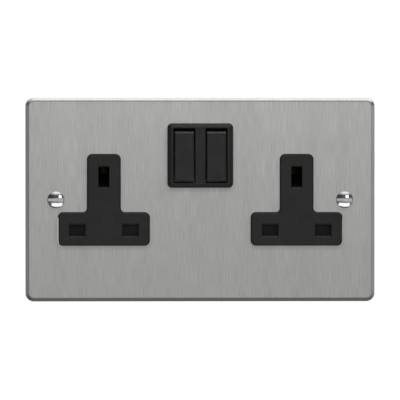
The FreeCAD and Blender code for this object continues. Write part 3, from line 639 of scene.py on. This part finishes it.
@dataclass
class Screws:
    """Slotted screws of one size that stand along Y, with their heads to one side.

    Lengths are in millimetres and angles in degrees. A place is an X and a Z, and front_mm is
    where the crowns stand along Y. The thread runs from seat_mm to end_mm below the crown.
    """

    node: str
    body: str
    slot: str
    style: HeadStyle
    places: list[tuple[float, float]]
    front_mm: float
    end_mm: float
    seat_mm: float
    head_radius: float
    head_rise: float
    core_radius: float
    thread_radius: float
    pitch: float
    slot_width: float
    slot_depth: float
    slot_turn: float
    points_away: bool = False

    def profile(self) -> list[tuple[float, float]]:
        """Works out half the section of the head.

        Returns:
            Points of radius and height, from the crown down to the neck.
        """
        top = []
        if self.style is HeadStyle.RAISED_COUNTERSUNK:
            ball = (self.head_radius ** 2 + self.head_rise ** 2) / (2 * self.head_rise)
            widest = math.asin(self.head_radius / ball)
            for i in range(DOME_STEPS + 1):
                angle = widest * i / DOME_STEPS
                top.append((ball * math.sin(angle), ball * (1 - math.cos(angle))))
            neck = self.head_rise + self.head_radius - self.core_radius
            top.append((self.core_radius, neck))
            top.append((self.core_radius, neck + NECK_MM))
        elif self.style is HeadStyle.PAN:
            corner = PAN_CORNER_SHARE * self.head_rise
            top.append((0.0, 0.0))
            for i in range(DOME_STEPS + 1):
                angle = math.pi / 2 * i / DOME_STEPS
                top.append((self.head_radius - corner * (1 - math.sin(angle)),
                            corner * (1 - math.cos(angle))))
            top.append((self.head_radius, self.head_rise))
            top.append((self.core_radius, self.head_rise))
            top.append((self.core_radius, self.head_rise + NECK_MM))
        else:
            top = [(0.0, 0.0), (self.thread_radius - POINT_BEVEL_MM, 0.0),
                   (self.thread_radius, POINT_BEVEL_MM), (self.thread_radius, self.head_rise)]
        return top + [(0.0, top[-1][1])]

    def head(self) -> bpy.types.Object:
        """Turns the head's section round Z and cuts its slot.

        Returns:
            A temporary object that the screw tree copies.
        """
        outline = bmesh.new()
        rings = []
        for radius, height in self.profile():
            ring = []
            for i in range(HEAD_SEGMENTS if radius > 0 else 1):
                angle = 2 * math.pi * i / HEAD_SEGMENTS
                ring.append(outline.verts.new((radius * MM * math.cos(angle),
                                               radius * MM * math.sin(angle), height * MM)))
            rings.append(ring)
        for here, ahead in zip(rings, rings[1:]):
            for i in range(HEAD_SEGMENTS):
                corners = [here[i % len(here)], here[(i + 1) % len(here)],
                           ahead[(i + 1) % len(ahead)], ahead[i % len(ahead)]]
                outline.faces.new(list(dict.fromkeys(corners)))
        bmesh.ops.recalc_face_normals(outline, faces=outline.faces)
        mesh = bpy.data.meshes.new(self.node + "_head")
        outline.to_mesh(mesh)
        outline.free()
        head = bpy.data.objects.new(self.node + "_head", mesh)
        bpy.context.scene.collection.objects.link(head)
        return self.cut_slot(head)

    def cut_slot(self, head: bpy.types.Object) -> bpy.types.Object:
        """Cuts the screwdriver slot across a head.

        Args:
            head: The head, with its crown at Z = 0.

        Returns:
            The same object with the slot in its mesh.
        """
        cutter_mesh = bpy.data.meshes.new("slot_cutter")
        box = bmesh.new()
        bmesh.ops.create_cube(box, size=1.0)
        # The cutter passes the rim on both sides and stands as far above the crown as below.
        size = Vector((3 * self.head_radius, self.slot_width, 2 * self.slot_depth)) * MM
        bmesh.ops.scale(box, vec=size, verts=box.verts)
        turn = Matrix.Rotation(math.radians(self.slot_turn), 4, "Z")
        bmesh.ops.transform(box, matrix=turn, verts=box.verts)
        box.to_mesh(cutter_mesh)
        box.free()
        cutter = bpy.data.objects.new("slot_cutter", cutter_mesh)
        bpy.context.scene.collection.objects.link(cutter)
        cut = head.modifiers.new("slot", "BOOLEAN")
        cut.operation = "DIFFERENCE"
        cut.solver = "EXACT"
        cut.object = cutter
        evaluated = head.evaluated_get(bpy.context.evaluated_depsgraph_get())
        mesh = bpy.data.meshes.new_from_object(evaluated)
        mesh.shade_smooth()
        head.modifiers.clear()
        head.data = mesh
        bpy.data.objects.remove(cutter)
        mesh.set_sharp_from_angle(angle=math.radians(SHARP_DEGREES))
        return head

    def build(self, tree: bpy.types.NodeTree, palette: Palette) -> bpy.types.Object:
        """Makes the screws and lets them stand for their node.

        Args:
            tree: The screw tree.
            palette: The outlet's finishes.

        Returns:
            The finished piece.
        """
        facing = Matrix.Identity(4)
        front = self.front_mm
        if self.points_away:
            facing = Matrix.Rotation(math.pi, 4, "Z")
            front = -self.front_mm
        place = facing @ Matrix.Translation((0, front * MM, 0)) @ INTO_WALL
        back = place.inverted()
        level = Vector((0, self.front_mm * MM, 0))
        seeds = [back @ (Vector((x * MM, 0, z * MM)) + level) for x, z in self.places]
        head = self.head()
        ridge = RIDGE_SHARE * self.pitch
        length = self.end_mm - self.seat_mm
        piece = grow(self.node + "_turned", tree, seeds, {
            "Head": head,
            "Core Radius": self.core_radius * MM,
            "Ridge Radius": (self.thread_radius - ridge) * MM,
            "Ridge Size": ridge * MM,
            "Start": self.seat_mm * MM,
            "Length": length * MM,
            "Threads": length / self.pitch,
            "Finish": palette.by_slot[self.slot],
        }, place)
        bpy.data.objects.remove(head)
        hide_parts(self.node)
        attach(piece, self.body)
        LOG.info("screws %s", piece.name)
        return piece


@dataclass
class Spring:
    """A compression spring of round wire that stands for a node.

    Lengths are in millimetres. The joint and travel fields are not used, and tilt turns it
    about X from upright, in degrees.
    """

    node: str
    body: str
    joint: str
    travel: float
    coil_radius: float
    wire_radius: float
    turns: float
    tilt: float

    def build(self, tree: bpy.types.NodeTree, palette: Palette) -> bpy.types.Object:
        """Makes the spring between the ends of its node.

        Args:
            tree: The coil tree.
            palette: The outlet's finishes.

        Returns:
            The finished piece.
        """
        low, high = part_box(self.node)
        centre = (Vector(low) + Vector(high)) / 2
        size = Vector(high) - Vector(low)
        turn = Matrix.Rotation(math.radians(self.tilt), 4, "X")
        across = 2 * (self.coil_radius + self.wire_radius) * MM
        lean = abs(math.sin(math.radians(self.tilt)))
        upright = abs(math.cos(math.radians(self.tilt)))
        along = max(size.y, size.z)
        length = (along - across * min(lean, upright)) / max(lean, upright)
        height = length - 2 * self.wire_radius * MM
        place = Matrix.Translation(centre) @ turn @ Matrix.Translation((0, 0, -height / 2))
        piece = grow(self.node + "_wire", tree, [Vector((0, 0, 0))], {
            "Coil Radius": self.coil_radius * MM,
            "Wire Radius": self.wire_radius * MM,
            "Height": height,
            "Turns": self.turns,
            "Finish": palette.by_slot["spring_steel"],
        }, place)
        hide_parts(self.node)
        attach(piece, self.body)
        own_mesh(piece)
        LOG.info("spring %s", piece.name)
        return piece


@dataclass(frozen=True)
class Softbox:
    """One lamp that faces the outlet, with its place and size in metres.

    It lights everything, or only what lit names, or everything but what spared names.
    """

    name: str
    place: tuple[float, float, float]
    size: tuple[float, float]
    watts: float
    lit: tuple[str, ...] = ()
    spared: tuple[str, ...] = ()

    def hang(self) -> None:
        """Adds the lamp to the scene."""
        light = bpy.data.lights.new(self.name, "AREA")
        light.shape = "RECTANGLE"
        light.size, light.size_y = self.size
        light.energy = self.watts
        lamp = bpy.data.objects.new(self.name, light)
        lamp.location = self.place
        lamp.visible_camera = False
        if self.lit or self.spared:
            group = bpy.data.collections.new(self.name + "_lights")
            for each in self.lit + self.spared:
                group.objects.link(bpy.data.objects[each])
            for each in group.collection_objects:
                each.light_linking.link_state = "EXCLUDE" if self.spared else "INCLUDE"
            lamp.light_linking.receiver_collection = group
        lamp.rotation_euler = (-Vector(self.place)).to_track_quat("-Z", "Y").to_euler()
        bpy.context.scene.collection.objects.link(lamp)


# Sheet, chrome and black plastic take light so differently that most lamps serve only one.
SOFTBOXES = (
    Softbox("overhead_softbox", (0.08, -0.24, 0.56), (0.4, 0.4), 1.0,
            spared=("front_plate", FACE_SCREWS)),
    Softbox("rocker_softbox", (0.04, -0.3, 0.5), (0.3, 0.3), 1.5, lit=ROCKERS),
    Softbox("front_softbox", (0.0, -0.7, 0.19), (0.25, 0.25), 0.34, spared=(FACE_SCREWS,)),
    Softbox("low_softbox", (0.05, -0.6, -0.5), (0.4, 0.4), 1.2,
            lit=("front_moulding",) + ROCKERS),
    Softbox("side_softbox", (0.33, -0.67, 0.27), (0.24, 0.24), 0.5, lit=(FACE_SCREWS,)),
    Softbox("floor_softbox", (0.05, -0.58, -0.42), (1.0, 0.3), 1.3, lit=(FACE_SCREWS,)),
)


@dataclass(frozen=True)
class Studio:
    """Pale floor, soft light and a long lens at the photograph's viewing angle.

    Lengths are in metres and angles in degrees. The two ramps give the room's level by height,
    from straight below to straight above, and by side, from left to right.
    """

    floor_z: float = -1.5
    floor_half: float = 8.0
    floor_roughness: float = 0.9
    floor_glow: float = 0.36
    upward: tuple[tuple[float, float], ...] = (
        (0.0, 0.12), (0.17, 0.1), (0.3, 0.2), (0.44, 0.31), (0.53, 0.52), (0.59, 0.1),
        (0.74, 0.06), (0.86, 0.9), (1.0, 1.0))
    sideways: tuple[tuple[float, float], ...] = (
        (0.0, 0.3), (0.3, 0.4), (0.45, 0.735), (0.55, 0.73), (0.85, 0.82), (0.95, 0.42))
    room_strength: float = 2.0
    backdrop_strength: float = 1.05
    azimuth: float = -1.5
    elevation: float = 1.0
    distance: float = 1.6
    view_width: float = 0.167
    sensor_mm: float = 36.0
    nearest: float = 0.05
    farthest: float = 20.0
    aim_x: float = -0.00012
    aim_z: float = -0.0001

    def floor(self) -> None:
        """Lays the floor well below the outlet, lit so that it runs into the backdrop."""
        mesh = bpy.data.meshes.new("floor")
        sheet = bmesh.new()
        bmesh.ops.create_grid(sheet, x_segments=2, y_segments=2, size=self.floor_half)
        sheet.to_mesh(mesh)
        sheet.free()
        mesh.transform(Matrix.Translation((0, 0, self.floor_z)))
        floor = bpy.data.objects.new("floor", mesh)
        bpy.context.scene.collection.objects.link(floor)
        material = bpy.data.materials.new("pale_paper")
        material.use_nodes = True
        shader = material.node_tree.nodes["Principled BSDF"]
        shader.inputs["Base Color"].default_value = linear("f4f4f4")
        shader.inputs["Roughness"].default_value = self.floor_roughness
        shader.inputs["Emission Color"].default_value = linear("ffffff")
        shader.inputs["Emission Strength"].default_value = self.floor_glow
        mesh.materials.append(material)
        floor.visible_glossy = False

    def world(self) -> None:
        """Sets a pale backdrop for the camera, and the room that the outlet mirrors."""
        world = bpy.data.worlds.new("studio")
        bpy.context.scene.world = world
        world.use_nodes = True
        tree = world.node_tree
        tree.nodes.clear()
        where = add_node(tree, "ShaderNodeTexCoord")
        split = add_node(tree, "ShaderNodeSeparateXYZ",
                         links={"Vector": where.outputs["Generated"]})
        levels = []
        for axis, stops in (("Z", self.upward), ("X", self.sideways)):
            place = add_node(tree, "ShaderNodeMapRange",
                             values={"From Min": -1.0, "From Max": 1.0},
                             links={"Value": split.outputs[axis]})
            levels.append(ramp(tree, place.outputs["Result"], stops))
        by_height, by_side = levels
        strength = add_node(tree, "ShaderNodeMath", settings={"operation": "MULTIPLY"},
                            values={1: self.room_strength}, links={0: by_side})
        seen = add_node(tree, "ShaderNodeLightPath")
        room = add_node(tree, "ShaderNodeBackground",
                        links={"Color": by_height, "Strength": strength.outputs[0]})
        backdrop = add_node(tree, "ShaderNodeBackground",
                            values={"Color": linear("ffffff"),
                                    "Strength": self.backdrop_strength})
        mix = add_node(tree, "ShaderNodeMixShader",
                       links={0: seen.outputs["Is Camera Ray"], 1: room.outputs[0],
                              2: backdrop.outputs[0]})
        add_node(tree, "ShaderNodeOutputWorld", links={"Surface": mix.outputs[0]})

    def camera(self) -> None:
        """Sets a long lens that looks at the front of the plate."""
        data = bpy.data.cameras.new("camera")
        data.sensor_width = self.sensor_mm
        data.lens = data.sensor_width * self.distance / self.view_width
        data.clip_start = self.nearest
        data.clip_end = self.farthest
        turn = math.radians(self.azimuth)
        rise = math.radians(self.elevation)
        back = Vector((math.sin(turn) * math.cos(rise), -math.cos(turn) * math.cos(rise),
                       math.sin(rise)))
        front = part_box("front_plate")[0][1]
        aim = Vector((self.aim_x, front, self.aim_z))
        camera = bpy.data.objects.new("camera", data)
        camera.location = aim + back * self.distance
        camera.rotation_euler = (-back).to_track_quat("-Z", "Y").to_euler()
        bpy.context.scene.collection.objects.link(camera)
        bpy.context.scene.camera = camera

    def build(self) -> None:
        """Sets up the whole studio."""
        self.floor()
        self.world()
        for softbox in SOFTBOXES:
            softbox.hang()
        self.camera()
        # The plain transform shows each hex colour as it is named.
        bpy.context.scene.view_settings.view_transform = "Standard"
        LOG.info("studio ready")


def screw_sets() -> list[Screws]:
    """Lists every kind of screw on the outlet.

    Returns:
        The fixing screws, the cover screws and the three terminal screws.
    """
    sets = [
        Screws(node="fixing_screws", body="socket", slot="chrome_screw",
               style=HeadStyle.RAISED_COUNTERSUNK, places=[(-60.3, 0.0), (60.3, 0.0)],
               front_mm=-5.4, end_mm=25.9, seat_mm=3.0, head_radius=3.5, head_rise=0.9,
               core_radius=1.4, thread_radius=1.75, pitch=0.6, slot_width=1.0,
               slot_depth=1.1, slot_turn=0.0),
        Screws(node="cover_screws", body="socket", slot="zinc_screw", style=HeadStyle.PAN,
               places=[(-46.0, -24.0), (46.0, -24.0), (20.0, 17.0)], front_mm=22.3,
               end_mm=22.8, seat_mm=1.6, head_radius=2.6, head_rise=1.6, core_radius=1.1,
               thread_radius=1.45, pitch=0.9, slot_width=0.7, slot_depth=0.8,
               slot_turn=90.0, points_away=True),
    ]
    for name, x in (("neutral", -11.0), ("earth", 0.0), ("live", 11.0)):
        sets.append(Screws(
            node="terminal_screw_" + name, body="terminal_screw_" + name, slot="brass_screw",
            style=HeadStyle.HEADLESS, places=[(x, -23.75)], front_mm=21.3, end_mm=5.0,
            seat_mm=1.4, head_radius=1.75, head_rise=1.5, core_radius=1.4,
            thread_radius=1.75, pitch=0.6, slot_width=0.8, slot_depth=1.0,
            slot_turn=90.0, points_away=True))
    return sets


def springs() -> list[Spring]:
    """Lists the four springs.

    Returns:
        Two shutter springs and two plunger springs.
    """
    found = []
    for side in ("left", "right"):
        found.append(Spring(node="shutter_spring_" + side, body="socket",
                            joint="shutter_slide_" + side, travel=5.6, coil_radius=1.7,
                            wire_radius=0.22, turns=9.0, tilt=0.0))
        found.append(Spring(node="plunger_spring_" + side, body="rocker_" + side,
                            joint="plunger_slide_" + side, travel=0.9, coil_radius=1.1,
                            wire_radius=0.14, turns=7.0, tilt=-96.0))
    return found


def main() -> None:
    """Dresses the frame, adds the fine pieces and sets up the studio."""
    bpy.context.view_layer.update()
    palette = Palette(FINISHES)
    palette.dress_nodes()
    threads = screw_tree()
    for screws in screw_sets():
        screws.build(threads, palette)
    coils = coil_tree()
    for spring in springs():
        spring.build(coils, palette)
    Studio().build()
    LOG.info("sizes written")


if __name__ == "__main__":
    logging.basicConfig(level=logging.INFO)
    main()
